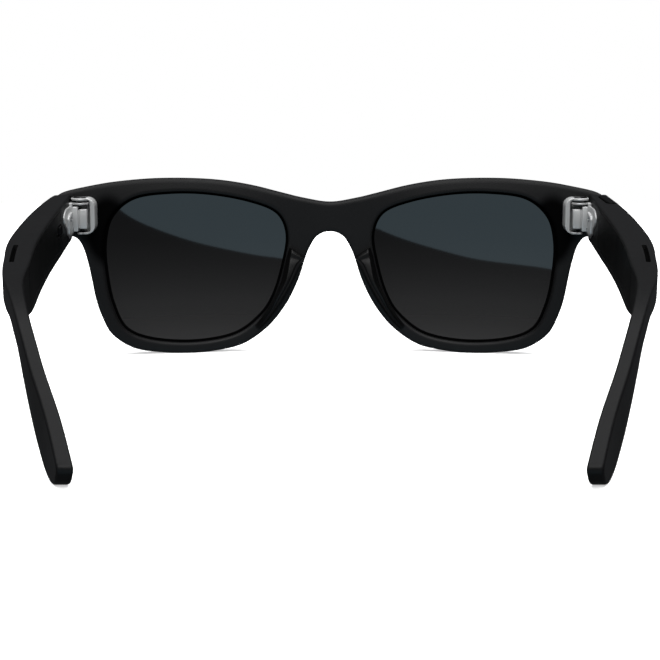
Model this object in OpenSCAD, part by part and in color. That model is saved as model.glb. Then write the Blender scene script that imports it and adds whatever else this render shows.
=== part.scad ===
// Smart glasses: a thick-rimmed front with a camera and a capture light, and two
// folding temples that hold the speakers, the battery and the main board.
// +Y is the way the wearer looks, +Z is up, and the wearer's left is at -X.
// The glasses stand on a table, on the lower rims and the two temple tips.

/* [Front] */
// Height of the middle of the lenses above the table
lens_z = 23.3; // [22.8:0.1:24]
// Radius of the front's wrap, seen from above, at its rear surface
bow_r = 230; // [200:5:300]
// Thickness of the whole front
front_t = 4.8; // [4.4:0.1:5.4]
// Thickness of the rear frame, the wearer's half of the front
rear_t = 1.5; // [1.3:0.1:1.7]
// Thickness of a lens
lens_t = 2; // [1.6:0.1:2]
// How far a lens reaches into its groove
groove = 0.65; // [0.4:0.05:0.8]
// Radius of the round camera window and of the capture light's window
window_r = 4; // [3.4:0.1:4.2]
// Distance of these two windows from the centre line
window_x = 65.3; // [65:0.1:65.6]

/* [Temples] */
// Slope of the temples, down towards the tips, in degrees
slope = 6; // [5:0.5:7]
// Length along the top edge from the front to the start of the ear bend
straight_len = 97.9; // [94:0.1:99]
// Radius of the ear bend, on the top edge
bend_r = 40; // [36:1:44]
// Angle of the ear bend, in degrees
bend = 36; // [34:0.5:37]
// Length along the top edge from the front to the end of the tip
temple_len = 152; // [148:0.1:153]
// Height of a temple at the hinge
front_h = 12.1; // [11.8:0.1:12.6]
// Greatest height of the housing
housing_h = 13.2; // [12.6:0.1:13.6]
// Height of the neck above the ear
neck_h = 7.6; // [7.2:0.1:9]
// Height of the ear hook
hook_h = 10.6; // [10:0.1:11]
// Thickness of the housing's walls
wall = 1.2; // [1:0.1:1.4]
// Thickness of the inner cover
cover_t = 0.9; // [0.8:0.1:1]

/* [Hinges] */
// Distance of each hinge axis from the centre line
axis_x = 65; // [64.8:0.1:65.2]
// Distance of the hinge axes behind the middle of the front's rear surface
axis_back = 13.2; // [13:0.1:13.4]
// Radius of the hinge barrel
barrel_r = 1.95; // [1.8:0.05:2]
// Radius of the hinge pin
pin_r = 0.8; // [0.7:0.05:0.9]
// Running clearance between the pin and the barrel
pin_gap = 0.03; // [0.02:0.01:0.06]

/* [Controls] */
// Length of the capture button
button_len = 10; // [8:0.5:10]
// Width of the capture button
button_w = 2.2; // [2:0.1:2.4]
// Travel of the capture button
button_travel = 0.4; // [0.3:0.05:0.5]
// Length of the power switch's knob
knob_len = 3; // [2.6:0.1:3.4]
// Travel of the power switch
switch_travel = 2; // [1.5:0.1:2.2]

/* [Hidden] */

LEFT = -1;
RIGHT = 1;
rear_y = 72.07;             // the front's rear surface on the centre line
temple_y = rear_y - 8;      // where the temples' top edge starts
temple_z = lens_z + 20.8;   // height of that start
far = 60;                   // longer than anything that it cuts
seam = 0.05;                // gap round a part that is glued or snapped in place
bow_gap = 0.35;             // gap between a temple's end and the front

// Plain black plastics and the metals
black = "#1c1c1d";
dark = "#111112";
lens_tint = "#2a3033";
chrome = "#d5d7d9";
steel = "#b4b7ba";
gold = "#c8a552";
board_green = "#1f4a33";
cell_grey = "#7d8287";

// ---- curves -------------------------------------------------------------------------

// A point of the smooth curve between b and c, whose neighbours are a and d
function blend(a, b, c, d, t) = 0.5 * (2 * b + (c - a) * t + (2 * a - 5 * b + 4 * c - d) * t * t
    + (3 * b - a - 3 * c + d) * t * t * t);

// A smooth closed curve through the points p, with n steps from each point to the next
function loop_through(p, n) = let (m = len(p)) [for (i = [0:m - 1]) for (k = [0:n - 1])
    blend(p[(i + m - 1) % m], p[i], p[(i + 1) % m], p[(i + 2) % m], k / n)];

// A smooth open curve through the points p
function line_through(p, n) = let (m = len(p)) concat(
    [for (i = [0:m - 2]) for (k = [0:n - 1])
        blend(p[max(i - 1, 0)], p[i], p[i + 1], p[min(i + 2, m - 1)], k / n)],
    [p[m - 1]]);

// A closed curve that runs anticlockwise, moved outwards by d
function grown(p, d) = let (m = len(p)) [for (i = [0:m - 1])
    let (run = p[(i + 1) % m] - p[(i + m - 1) % m]) p[i] + d * [run[1], -run[0]] / norm(run)];

function flipped(p) = [for (i = [len(p) - 1:-1:0]) [-p[i][0], p[i][1]]];

// A rectangle with rounded corners
function round_rect(low, high, r) = [for (q = [0:3]) for (k = [0:4])
    let (a = 90 * q + 22.5 * k,
         cx = (q == 0 || q == 3) ? high[0] - r : low[0] + r,
         cy = (q < 2) ? high[1] - r : low[1] + r)
    [cx + r * cos(a), cy + r * sin(a)]];

// ---- the front's outlines, as [x, height from the middle of the lenses] ---------------

// The right half, from the top of the bridge round the rim to the underside of the bridge
half_outline = [[0, 17.05], [7, 18.1], [13.5, 19.7], [20, 21.4], [26.5, 22.65], [33, 23.4],
    [41, 23.75], [49, 23.65], [58, 22.9], [65, 21.75], [69.8, 20.7], [71.6, 19.6], [72.2, 17.6],
    [72.2, 11.8], [71.4, 9.9], [69.2, 9.2], [66.9, 8.8], [65.2, 6.4], [64, 2.2], [63.1, -2.4],
    [62.2, -7.5], [60.8, -12.2], [58.2, -17.4], [52.8, -21.3], [45.9, -22.8], [37, -23.3],
    [29.8, -22.65], [23.1, -20.9], [16.7, -16.4], [11.9, -10.4], [8.6, -3.8], [6.5, 2.7],
    [5.1, 5.8], [3.6, 8], [1.3, 9.2]];
outline = loop_through(concat([for (i = [len(half_outline) - 1:-1:1]) half_outline[i]],
    [half_outline[0]], [for (i = [1:len(half_outline) - 1]) [-half_outline[i][0], half_outline[i][1]]]), 3);

// The right lens opening, anticlockwise from its nose side
opening = loop_through([[15, -7.9], [18.7, -13.6], [25.6, -18.6], [36.2, -20.5], [47.3, -19.6],
    [54.6, -16.4], [58, -9.7], [59.6, -1.5], [59.9, 7.1], [57.9, 14.2], [52.1, 19],
    [42.7, 20.3], [32.3, 19.9], [21.4, 17.8], [14, 14.6], [11.3, 8.6], [12.4, 0.6]], 4);

// ---- the temples' curves --------------------------------------------------------------

// A temple lies in its own frame: u runs back along the top edge and w goes up from it.
// Distance of the outer and the inner face from the centre line, as [u, distance]
outer_face = line_through([[-4, 71.6], [4, 72.1], [22, 73.8], [42, 74.4], [62, 73.8], [82, 70.9],
    [98, 67.8], [112, 63.6], [124, 59.2], [136, 54], [152, 48.4]], 4);
inner_face = line_through([[-4, 67.7], [4, 67.7], [22, 67.75], [42, 67.8], [62, 67.1], [80, 65.5],
    [98, 63.9], [112, 60.6], [124, 56.2], [136, 50.8], [152, 44.9]], 4);
function x_out(u) = lookup(u, outer_face);
function x_in(u) = lookup(u, inner_face);

bend_len = bend_r * bend * PI / 180;

// Angle of the top edge at the length s along it
function turn_at(s) = bend * max(0, min(1, (s - straight_len) / bend_len));

// The top edge at the length s along it
function top_edge(s) = let (turn = turn_at(s), rest = max(0, s - straight_len - bend_len))
    [min(s, straight_len) + bend_r * sin(turn) + rest * cos(turn),
     -bend_r * (1 - cos(turn)) - rest * sin(turn)];

// The height of a temple: the housing, a slow taper to the neck, the hook and the rounded tip
taper_start = 62;
neck_at = 115;
hook_at = 139;
tip_start = temple_len - 9.4;
tip_edge = 3.15;              // height of the flat end of the tip
tip_round = 1.3;              // radius of its upper corner
function eased(a, b, t) = a + (b - a) * (1 - cos(180 * t)) / 2;
function height_at(s) = s < taper_start ? front_h + (housing_h - front_h) * s / taper_start
    : s < neck_at ? eased(housing_h, neck_h, (s - taper_start) / (neck_at - taper_start))
    : s < hook_at ? eased(neck_h, hook_h, (s - neck_at) / (hook_at - neck_at))
    : s < tip_start ? hook_h
    : tip_edge + (hook_h - tip_edge) * sqrt(max(0, 1 - pow((s - tip_start) / (temple_len - tip_start), 2)));
function bottom_edge(s) = let (turn = turn_at(s)) top_edge(s) - height_at(s) * [sin(turn), cos(turn)];

// The round corner where the top edge meets the end of the tip
function tip_corner(a) = let (c = top_edge(temple_len - tip_round) - tip_round * [sin(bend), cos(bend)])
    c + tip_round * [sin(bend + a), cos(bend + a)];

side_outline = concat(
    [top_edge(-4), top_edge(straight_len)],
    [for (k = [1:6]) top_edge(straight_len + bend_len * k / 6)],
    [for (a = [0:15:90]) tip_corner(a)],
    [for (k = [12:-1:0]) bottom_edge(tip_start + (temple_len - tip_start) * sin(7.5 * k))],
    [for (k = [19:-1:0]) bottom_edge(taper_start + (tip_start - taper_start) * k / 20)],
    [bottom_edge(-4)]);

// ---- shared shapes --------------------------------------------------------------------

// A flat outline in x and height, cut out of the layer of the bowed front between two depths
module layer(from, to) {
    intersection() {
        translate([0, rear_y + 10, 0]) rotate([90, 0, 0]) linear_extrude(40) children();
        translate([0, rear_y - bow_r, -5]) difference() {
            cylinder(r = bow_r + to, h = far, $fn = 720);
            translate([0, 0, -1]) cylinder(r = bow_r + from, h = far + 2, $fn = 720);
        }
    }
}

module shape(p) {
    translate([0, lens_z]) polygon(p);
}

// Both lens openings, grown by d
module openings(d) {
    shape(grown(opening, d));
    shape(flipped(grown(opening, d)));
}

// A place on the front's rear surface, with +Y square to it and out through the front
module on_bow(x, height) {
    translate([0, rear_y - bow_r, lens_z + height]) rotate([0, 0, -asin(x / bow_r)])
        translate([0, bow_r, 0]) children();
}

module disc(r, from, to) {
    translate([0, from, 0]) rotate([-90, 0, 0]) cylinder(r = r, h = to - from, $fn = 48);
}

module tile(w, h, from, to) {
    translate([-w / 2, from, -h / 2]) cube([w, to - from, h]);
}

// The right side's part, or its mirror image on the left
module on_side(side) {
    mirror([side == LEFT ? 1 : 0, 0, 0]) children();
}

module temple_frame() {
    translate([0, temple_y, temple_z]) rotate([slope, 0, 0]) children();
}

// A slab of a temple between two faces that are measured in from the outer or inner face
module slab(u0, u1, w0, w1, xa, xb) {
    steps = max(2, ceil((u1 - u0) / 5));
    us = [for (k = [0:steps]) u0 + (u1 - u0) * k / steps];
    a = [for (u = us) [xa[0] == "in" ? x_in(u) + xa[1] : x_out(u) - xa[1], -u]];
    b = [for (k = [steps:-1:0]) [xb[0] == "in" ? x_in(us[k]) + xb[1] : x_out(us[k]) - xb[1], -us[k]]];
    translate([0, 0, w0]) linear_extrude(w1 - w0) polygon(concat(a, b));
}

// The space inside the front frame's outline, which ends the temples just behind it
module behind_front() {
    translate([0, rear_y - bow_r, -5]) cylinder(r = bow_r - bow_gap, h = far, $fn = 720);
}

// ---- the front ------------------------------------------------------------------------

window_z = 15.2;              // height of the camera and the capture light
mic_height = 13.2;
contact_x = 1.8;
contact_r = 0.65;
contact_z = [9.05, 11.2];
lens_back = rear_t;                 // depth of a lens's rear face
lens_front = rear_t + lens_t;
flex_in = [0.95, 1.95];             // the flex channel, measured in from the top outline

// The outline of the channel for the flex along the top of the front
function flex_band(inner, outer, x_end) = let (
    top = [for (p = outline) if (p[1] > 15 && abs(p[0]) <= x_end) p],
    low = [for (i = [len(top) - 1:-1:0]) top[i] - [0, inner]],
    high = [for (p = top) p - [0, outer]]) concat(high, low);

module camera_pocket() {
    on_bow(-window_x, window_z) {
        disc(window_r + seam, 4, front_t + 1);
        disc(2.5, rear_t - 0.1, 4.1);
        tile(6.6, 6.6, rear_t - 0.1, 2.5);
    }
}

module light_pocket() {
    on_bow(window_x, window_z) {
        disc(window_r + seam, 4, front_t + 1);
        disc(1.6, 2, 4.1);
        tile(5.4, 5.4, rear_t - 0.1, 2.9);
    }
}

module contact_posts(r, low, high) {
    for (side = [LEFT, RIGHT])
        on_bow(side * contact_x, low) translate([0, 3, 0]) cylinder(r = r, h = high - low, $fn = 32);
}

module front_frame() {
    color(black) difference() {
        layer(rear_t, front_t) difference() {
            shape(outline);
            openings(0);
        }
        layer(rear_t - 1, lens_front + seam) openings(groove);
        layer(rear_t - 1, rear_t + 0.5) shape(flex_band(flex_in[1], flex_in[0], 62));
        on_bow(0, mic_height) tile(3.4, 3.4, rear_t - 0.1, 2.8);
        camera_pocket();
        light_pocket();
        contact_posts(contact_r, 6, contact_z[1]);
    }
}

module rear_frame() {
    color(black) difference() {
        layer(0, rear_t) difference() {
            shape(outline);
            openings(0);
        }
        on_bow(0, mic_height) disc(0.4, -1, rear_t + 1);
        bracket_screw_holes();
    }
}

module lens(side) {
    color(lens_tint) on_side(side) layer(lens_back, lens_front) shape(grown(opening, groove - seam));
}

// A moulded pad that stands on the rear frame beside the nose
module nose_pad(side) {
    color(black) on_side(side) intersection() {
        translate([0, 0, lens_z]) hull() {
            translate([8.6, rear_y - 0.6, 4]) sphere(r = 1.3, $fn = 20);
            translate([10.6, rear_y - 3.6, -2]) sphere(r = 1.5, $fn = 20);
            translate([13.4, rear_y - 3.7, -8]) sphere(r = 1.5, $fn = 20);
            translate([17.4, rear_y - 1.3, -14.8]) sphere(r = 1.2, $fn = 20);
            translate([12.2, rear_y - 0.2, -2]) sphere(r = 0.9, $fn = 20);
            translate([15, rear_y - 0.3, -9]) sphere(r = 0.9, $fn = 20);
        }
        translate([0, rear_y - bow_r, -5]) cylinder(r = bow_r, h = far, $fn = 720);
    }
}

module camera_window() {
    color(dark) on_bow(-window_x, window_z) disc(window_r, 4.05, front_t - 0.05);
}

module camera_module() {
    color(dark) on_bow(-window_x, window_z) {
        disc(2.4, 2.3, 4);
        tile(6.4, 6.4, rear_t, 2.4);
    }
}

module light_window() {
    color(dark) on_bow(window_x, window_z) disc(window_r, 4.05, front_t - 0.05);
}

module light_module() {
    color("#e8e4d4") on_bow(window_x, window_z) {
        tile(5.2, 5.2, rear_t, 2);
        tile(1.8, 1.8, 1.9, 3);
    }
}

module bridge_microphone() {
    color(steel) on_bow(0, mic_height) difference() {
        tile(3.2, 3.2, rear_t, 2.6);
        disc(0.4, rear_t - 1, 2);
    }
}

module charging_contacts() {
    color(gold) contact_posts(contact_r, contact_z[0], contact_z[1]);
}

module front_flex() {
    color("#4a3418") layer(rear_t + 0.1, rear_t + 0.3)
        shape(flex_band(flex_in[1] - 0.15, flex_in[0] + 0.15, 61.8));
}

// ---- the hinges -----------------------------------------------------------------------

ear_low = [9.3, 10.8];        // heights of the lower ear, from the middle of the lenses
ear_high = [17.2, 19.8];      // and of the upper ear
barrel_z = [10.9, 17.1];      // and of the barrel between them
plate_x = [60.7, 62.9];       // the upright plate on the lens side
screw_heights = [12.2, 15.8];

module at_axis() {
    translate([axis_x, rear_y - axis_back, lens_z]) children();
}

module bracket_screw_holes() {
    for (side = [LEFT, RIGHT]) for (height = screw_heights)
        on_bow(side * axis_x, height) disc(0.5, -3, rear_t - 0.1);
}

module ear(heights) {
    translate([0, 0, heights[0]]) {
        cylinder(r = barrel_r, h = heights[1] - heights[0], $fn = 48);
        translate([plate_x[0] - axis_x + 1, 0, 0])
            cube([axis_x - plate_x[0] - 1 + barrel_r, 4, heights[1] - heights[0]]);
    }
}

// A C-shaped bracket with two ears, which stands on the rear frame
module hinge_bracket(side) {
    color(chrome) on_side(side) difference() {
        intersection() {
            at_axis() {
                ear(ear_low);
                ear(ear_high);
                translate([plate_x[0] - axis_x, 2.5, ear_low[0] + 0.3])
                    cube([67.3 - plate_x[0], 3.5, ear_high[1] - ear_low[0] - 0.6]);
                translate([-axis_x, 5, 0]) rotate([90, 0, 0]) linear_extrude(5.2)
                    intersection() {
                        polygon(round_rect([plate_x[0], ear_low[0]], [70, ear_high[1]], 2.1));
                        translate([plate_x[0], 0]) square([plate_x[1] - plate_x[0], 30]);
                    }
            }
            translate([0, rear_y - bow_r, -5]) cylinder(r = bow_r, h = far, $fn = 720);
        }
        at_axis() {
            translate([0, 0, 5]) cylinder(r = pin_r, h = 20, $fn = 32);
            translate([0, 0, ear_high[1] - 0.6]) cylinder(r = 1.35, h = 2, $fn = 32);
        }
        for (height = screw_heights) on_bow(axis_x, height) {
            disc(0.5, -3, 1);
            disc(0.9, -3, -0.7);
        }
    }
}

module hinge_pin(side) {
    color(steel) on_side(side) at_axis() difference() {
        union() {
            translate([0, 0, ear_low[0] + 0.1])
                cylinder(r = pin_r, h = ear_high[1] - ear_low[0] - 0.65, $fn = 32);
            translate([0, 0, ear_high[1] - 0.6]) cylinder(r = 1.3, h = 0.55, $fn = 32);
        }
        translate([-2, -0.15, ear_high[1] - 0.3]) cube([4, 0.3, 1]);
    }
}

module bracket_screws() {
    color(steel) for (side = [LEFT, RIGHT]) for (height = screw_heights)
        on_bow(side * axis_x, height) {
            disc(0.5, -0.8, rear_t - 0.2);
            disc(0.85, -1.1, -0.7);
        }
}

// The leaf is let into the inner face of the temple
leaf_x = [66.65, 68.15];
leaf_u = [5.6, 12.8];
leaf_w = [-10.2, -3.2];
screw_spots = [[7.6, -8.6], [10.6, -5]];    // u and w of the knuckle's screws

module leaf(gap) {
    translate([leaf_x[1] + gap, 0, 0]) rotate([90, 0, -90]) linear_extrude(leaf_x[1] + gap - leaf_x[0])
        polygon(round_rect([leaf_u[0] - gap, leaf_w[0] - gap], [leaf_u[1] + gap, leaf_w[1] + gap], 1.6));
}

module along_x(x0, x1, r) {
    translate([x0, 0, 0]) rotate([0, 90, 0]) cylinder(r = r, h = x1 - x0, $fn = 24);
}

module hinge_knuckle(side) {
    color(chrome) on_side(side) difference() {
        union() {
            at_axis() {
                translate([0, 0, barrel_z[0]])
                    cylinder(r = barrel_r, h = barrel_z[1] - barrel_z[0], $fn = 48);
                translate([0, -barrel_r, barrel_z[0]]) cube([2.6, barrel_r, barrel_z[1] - barrel_z[0]]);
            }
            temple_frame() leaf(0);
        }
        at_axis() translate([0, 0, 5]) cylinder(r = pin_r + pin_gap, h = 20, $fn = 32);
        temple_frame() for (spot = screw_spots) translate([0, -spot[0], spot[1]]) {
            along_x(60, 70, 0.5);
            along_x(60, leaf_x[0] + 0.4, 0.9);
        }
        // Room for the bracket's ears as the temple folds
        at_axis() for (heights = [[0, barrel_z[0]], [barrel_z[1], 25]])
            translate([0, 0, heights[0]])
                cylinder(r = barrel_r + 0.25, h = heights[1] - heights[0], $fn = 48);
    }
}

module knuckle_screws(side) {
    color(steel) on_side(side) temple_frame() for (spot = screw_spots)
        translate([0, -spot[0], spot[1]]) {
            along_x(leaf_x[0] + 0.1, 70.2, 0.5);
            along_x(leaf_x[0] + 0.05, leaf_x[0] + 0.4, 0.85);
        }
}

// ---- the temples ----------------------------------------------------------------------

cavity_u = [20.5, 83];
cavity_w = [-10.2, -1.3];
cover_u = [19.8, 83.7];
cover_w = [-10.7, -0.8];
slot_u = [64, 81];
slot_w = 1.1;
slot_inset = 1.5;             // from the outer face to the near side of the speaker slot
mic_u = 25;
switch_u = 24;                // middle of the power switch's window
switch_mid = -5.5;
window_len = knob_len + switch_travel + 0.4;
knob_h = 2.2;
button_u = 11.5;              // middle of the capture button
button_inset = 1.75;
button_foot = -2.35;          // height of the button's lower end

module temple_solid() {
    us = [for (k = [0:39]) -3.5 + 155 * k / 39];
    intersection() {
        temple_frame() intersection() {
            translate([80, 0, 0]) rotate([90, 0, -90]) linear_extrude(50) polygon(side_outline);
            translate([0, 0, -50]) linear_extrude(70) polygon(concat(
                [for (u = us) [x_out(u), -u]], [for (k = [39:-1:0]) [x_in(us[k]), -us[k]]]));
        }
        behind_front();
    }
}

// The narrow opening on the top edge that lets the sound out
module speaker_slot(from, to, inset) {
    slab(slot_u[0] + inset, slot_u[1] - inset, from, to,
        ["out", slot_inset + inset], ["out", slot_inset + slot_w - inset]);
}

module temple_shell(side) {
    color(black) on_side(side) difference() {
        temple_solid();
        temple_frame() {
            slab(cavity_u[0], cavity_u[1], cavity_w[0], cavity_w[1], ["in", -2], ["out", wall]);
            slab(cover_u[0], cover_u[1], cover_w[0], cover_w[1], ["in", -2], ["in", cover_t]);
            speaker_slot(-2, 1, 0);
            translate([0, -mic_u, -housing_h - 1]) translate([x_in(mic_u) + 2.6, 0, 0])
                cylinder(r = 0.4, h = housing_h + cavity_w[0] + 1.1, $fn = 24);
            leaf(seam);
            for (spot = screw_spots) translate([0, -spot[0], spot[1]]) along_x(66, 70.2, 0.5);
            if (side == RIGHT) {
                button_space(0.08, -2, 1);
                button_space(0.3, -3.6, -1);
            }
        }
    }
}

module temple_cover(side) {
    color(black) on_side(side) temple_frame() difference() {
        slab(cover_u[0] + seam, cover_u[1] - seam, cover_w[0] + seam, cover_w[1] - seam,
            ["in", 0], ["in", cover_t]);
        if (side == LEFT) translate([60, -switch_u - window_len / 2, switch_mid - knob_h / 2 - 0.15])
            cube([10, window_len, knob_h + 0.3]);
    }
}

module speaker(side) {
    color(steel) on_side(side) temple_frame()
        slab(62, 80, -10, -2.4, ["in", cover_t + 0.1], ["out", wall + 0.1]);
}

module speaker_mesh(side) {
    color(dark) on_side(side) temple_frame() speaker_slot(-1.3, -0.5, 0.04);
}

module microphone(side) {
    color(steel) on_side(side) temple_frame()
        slab(mic_u - 1.6, mic_u + 1.6, cavity_w[0] + 0.05, -8.9, ["in", cover_t + 0.4], ["out", wall + 0.6]);
}

module temple_flex(side) {
    color("#4a3418") on_side(side) temple_frame()
        slab(21, 61, -8.6, -3, ["out", wall + 0.05], ["out", wall + 0.2]);
}

module battery() {
    color(cell_grey) on_side(LEFT) temple_frame()
        slab(32, 60, -9.9, -1.6, ["in", cover_t + 0.2], ["out", wall + 0.35]);
}

// The power switch slides in a window of the left inner cover, on its contact block
switch_x = x_in(switch_u);

module switch_contacts() {
    color(dark) on_side(LEFT) temple_frame()
        translate([switch_x + 2, -switch_u - 3.4, switch_mid - 2.3]) cube([1.6, 6.8, 4.6]);
}

module power_switch() {
    color(dark) on_side(LEFT) temple_frame() {
        knob_start = -switch_u + window_len / 2 - 0.2 - knob_len;
        translate([switch_x - 0.45, knob_start, switch_mid - knob_h / 2]) cube([1.6, knob_len, knob_h]);
        translate([switch_x + cover_t + 0.2, knob_start - 0.5, switch_mid - knob_h / 2 - 0.5])
            cube([0.75, knob_len + 1, knob_h + 1]);
    }
}

module main_board() {
    color(board_green) on_side(RIGHT) temple_frame()
        slab(28, 60, -9.8, -2.2, ["in", cover_t + 0.3], ["in", cover_t + 1]);
}

module chip_shield() {
    color(steel) on_side(RIGHT) temple_frame()
        slab(33, 54, -9, -3, ["in", cover_t + 1.03], ["in", cover_t + 2.1]);
}

module antenna() {
    color(gold) on_side(RIGHT) temple_frame()
        slab(28, 58, -1.5, -1.35, ["in", cover_t + 0.8], ["out", wall + 0.4]);
}

module touch_sensor() {
    color("#6b4a20") on_side(RIGHT) temple_frame()
        slab(30, 58, -9.6, -2, ["out", wall + 0.25], ["out", wall + 0.4]);
}

// The middle of the capture button, turned to follow the outer face
module at_button() {
    turn = atan((x_out(button_u + 5) - x_out(button_u - 5)) / 10);
    translate([x_out(button_u) - button_inset, -button_u, 0]) rotate([0, 0, turn]) children();
}

// The button's long round-ended shape, grown by d, between two heights
module button_space(d, w0, w1) {
    r = button_w / 2 + d;
    half = (button_len - button_w) / 2;
    at_button() translate([0, 0, w0]) {
        for (end = [-half, half]) translate([0, end, 0]) cylinder(r = r, h = w1 - w0, $fn = 32);
        translate([-r, -half, 0]) cube([2 * r, 2 * half, w1 - w0]);
    }
}

module capture_button() {
    color(dark) temple_frame() {
        button_space(0, button_foot, 0.45);
        button_space(0.2, button_foot, button_foot + 0.25);
    }
}

module button_seal() {
    color("#2a2a2c") temple_frame() difference() {
        button_space(0.28, -1.7, -1.02);
        button_space(0.08, -2, 0);
    }
}

module button_switch() {
    color(steel) temple_frame() at_button()
        translate([-1.2, -2, button_foot - 0.05 - button_travel - 0.8]) cube([2.4, 4, 0.8]);
}

front_frame();
rear_frame();
lens(LEFT);  // lens_left
lens(RIGHT);  // lens_right
nose_pad(LEFT);  // nose_pad_left
nose_pad(RIGHT);  // nose_pad_right
camera_window();
camera_module();
light_window();
light_module();
bridge_microphone();
charging_contacts();
front_flex();
hinge_bracket(LEFT);  // hinge_bracket_left
hinge_bracket(RIGHT);  // hinge_bracket_right
hinge_pin(LEFT);  // hinge_pin_left
hinge_pin(RIGHT);  // hinge_pin_right
bracket_screws();
temple_shell(LEFT);  // temple_shell_left
temple_cover(LEFT);  // temple_cover_left
hinge_knuckle(LEFT);  // hinge_knuckle_left
knuckle_screws(LEFT);  // knuckle_screws_left
speaker(LEFT);  // speaker_left
speaker_mesh(LEFT);  // speaker_mesh_left
microphone(LEFT);  // microphone_left
temple_flex(LEFT);  // temple_flex_left
battery();
switch_contacts();
power_switch();
temple_shell(RIGHT);  // temple_shell_right
temple_cover(RIGHT);  // temple_cover_right
hinge_knuckle(RIGHT);  // hinge_knuckle_right
knuckle_screws(RIGHT);  // knuckle_screws_right
speaker(RIGHT);  // speaker_right
speaker_mesh(RIGHT);  // speaker_mesh_right
microphone(RIGHT);  // microphone_right
temple_flex(RIGHT);  // temple_flex_right
main_board();
chip_shield();
antenna();
touch_sensor();
button_switch();
button_seal();
capture_button();
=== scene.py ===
"""The looks of the smart glasses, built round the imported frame.

Shapes are in mm. The floor, the lights and the depth of a bump are in metres."""
import math

import bmesh
import bpy
import numpy as np
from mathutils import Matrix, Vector
from mathutils.geometry import delaunay_2d_cdt


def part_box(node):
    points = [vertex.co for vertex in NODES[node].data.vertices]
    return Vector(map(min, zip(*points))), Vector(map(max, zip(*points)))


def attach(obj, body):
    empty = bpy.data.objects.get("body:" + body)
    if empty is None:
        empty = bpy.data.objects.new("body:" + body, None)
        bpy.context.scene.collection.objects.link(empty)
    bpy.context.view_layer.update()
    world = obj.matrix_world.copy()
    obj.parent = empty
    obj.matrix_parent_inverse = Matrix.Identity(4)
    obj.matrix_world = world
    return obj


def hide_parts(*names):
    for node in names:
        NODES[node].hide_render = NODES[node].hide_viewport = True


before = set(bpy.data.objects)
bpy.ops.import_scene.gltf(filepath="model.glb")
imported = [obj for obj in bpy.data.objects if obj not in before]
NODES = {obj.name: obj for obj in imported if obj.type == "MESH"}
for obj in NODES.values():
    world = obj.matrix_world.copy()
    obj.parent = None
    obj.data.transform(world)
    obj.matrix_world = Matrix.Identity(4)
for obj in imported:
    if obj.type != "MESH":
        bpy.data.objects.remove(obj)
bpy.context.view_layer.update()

SIDES = ((1, "right"), (-1, "left"))

# ---- sizes that the CAD and the looks share ----

BOW_R = 230.0                  # wrap of the front's rear surface
FRONT_T = 4.8                  # the whole front, from its rear surface forwards
REAR_T = 1.5                   # its part on the wearer's side
REAR_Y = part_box("front_frame")[1][1] * 1000 - FRONT_T   # rear surface on the centre line
LENS_Z = 23.3                  # middle of the lenses above the table
SLOPE = math.radians(6)        # the temples fall away towards the back
COS, SIN = math.cos(SLOPE), math.sin(SLOPE)
TEMPLE_Y = REAR_Y - 8
TEMPLE_Z = LENS_Z + 20.8
# A temple's top edge: how long it is straight, then how tightly and how far it bends down
STRAIGHT, BEND_R, BEND = 97.9, 40.0, math.radians(36)
BEND_LEN = BEND_R * BEND
TEMPLE_LEN = 152.0
# A temple's height at its front end, where it holds the parts, at its neck and at its hook
FRONT_H, HOUSING_H, NECK_H, HOOK_H = 12.1, 13.2, 7.6, 10.6
AXIS_X, AXIS_BACK = 65.0, 13.2           # the hinge axis, behind the rear surface
WINDOW_X, WINDOW_Z, WINDOW_R = 65.3, 15.2, 4.0      # the round windows in the front

# The right half of the front, from the top of the bridge round the rim and back, then the right
# lens opening: x, and height above LENS_Z
HALF = [(0, 17.05), (7, 18.1), (13.5, 19.7), (20, 21.4), (26.5, 22.65), (33, 23.4), (41, 23.75),
        (49, 23.65), (58, 22.9), (65, 21.75), (69.8, 20.7), (71.6, 19.6), (72.2, 17.6),
        (72.2, 11.8), (71.4, 9.9), (69.2, 9.2), (66.9, 8.8), (65.2, 6.4), (64, 2.2), (63.1, -2.4),
        (62.2, -7.5), (60.8, -12.2), (58.2, -17.4), (52.8, -21.3), (45.9, -22.8), (37, -23.3),
        (29.8, -22.65), (23.1, -20.9), (16.7, -16.4), (11.9, -10.4), (8.6, -3.8), (6.5, 2.7),
        (5.1, 5.8), (3.6, 8), (1.3, 9.2)]
OPENING = [(15, -7.9), (18.7, -13.6), (25.6, -18.6), (36.2, -20.5), (47.3, -19.6), (54.6, -16.4),
           (58, -9.7), (59.6, -1.5), (59.9, 7.1), (57.9, 14.2), (52.1, 19), (42.7, 20.3),
           (32.3, 19.9), (21.4, 17.8), (14, 14.6), (11.3, 8.6), (12.4, 0.6)]
LENS_MID = (35.6, 0.3)
# A temple's two faces: distance back along the temple, and x
OUTER_FACE = [(-4, 71.6), (4, 72.1), (22, 73.8), (42, 74.4), (62, 73.8), (82, 70.9), (98, 67.8),
              (112, 63.6), (124, 59.2), (136, 54), (152, 48.4)]
INNER_FACE = [(-4, 67.7), (4, 67.7), (22, 67.75), (42, 67.8), (62, 67.1), (80, 65.5), (98, 63.9),
              (112, 60.6), (124, 56.2), (136, 50.8), (152, 44.9)]


# ---- curves ----

def smooth_curve(points, closed, n=12):
    """A Catmull-Rom curve through the points, n steps to each span."""
    p = np.array(points, float)
    m = len(p)
    out = []
    for i in range(m if closed else m - 1):
        if closed:
            a, b, c, d = p[i - 1], p[i], p[(i + 1) % m], p[(i + 2) % m]
        else:
            a, b, c, d = p[max(i - 1, 0)], p[i], p[i + 1], p[min(i + 2, m - 1)]
        for k in range(n):
            t = k / n
            out.append(0.5 * (2 * b + (c - a) * t + (2 * a - 5 * b + 4 * c - d) * t ** 2
                              + (3 * b - a - 3 * c + d) * t ** 3))
    if not closed:
        out.append(p[-1])
    return np.array(out)


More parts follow.
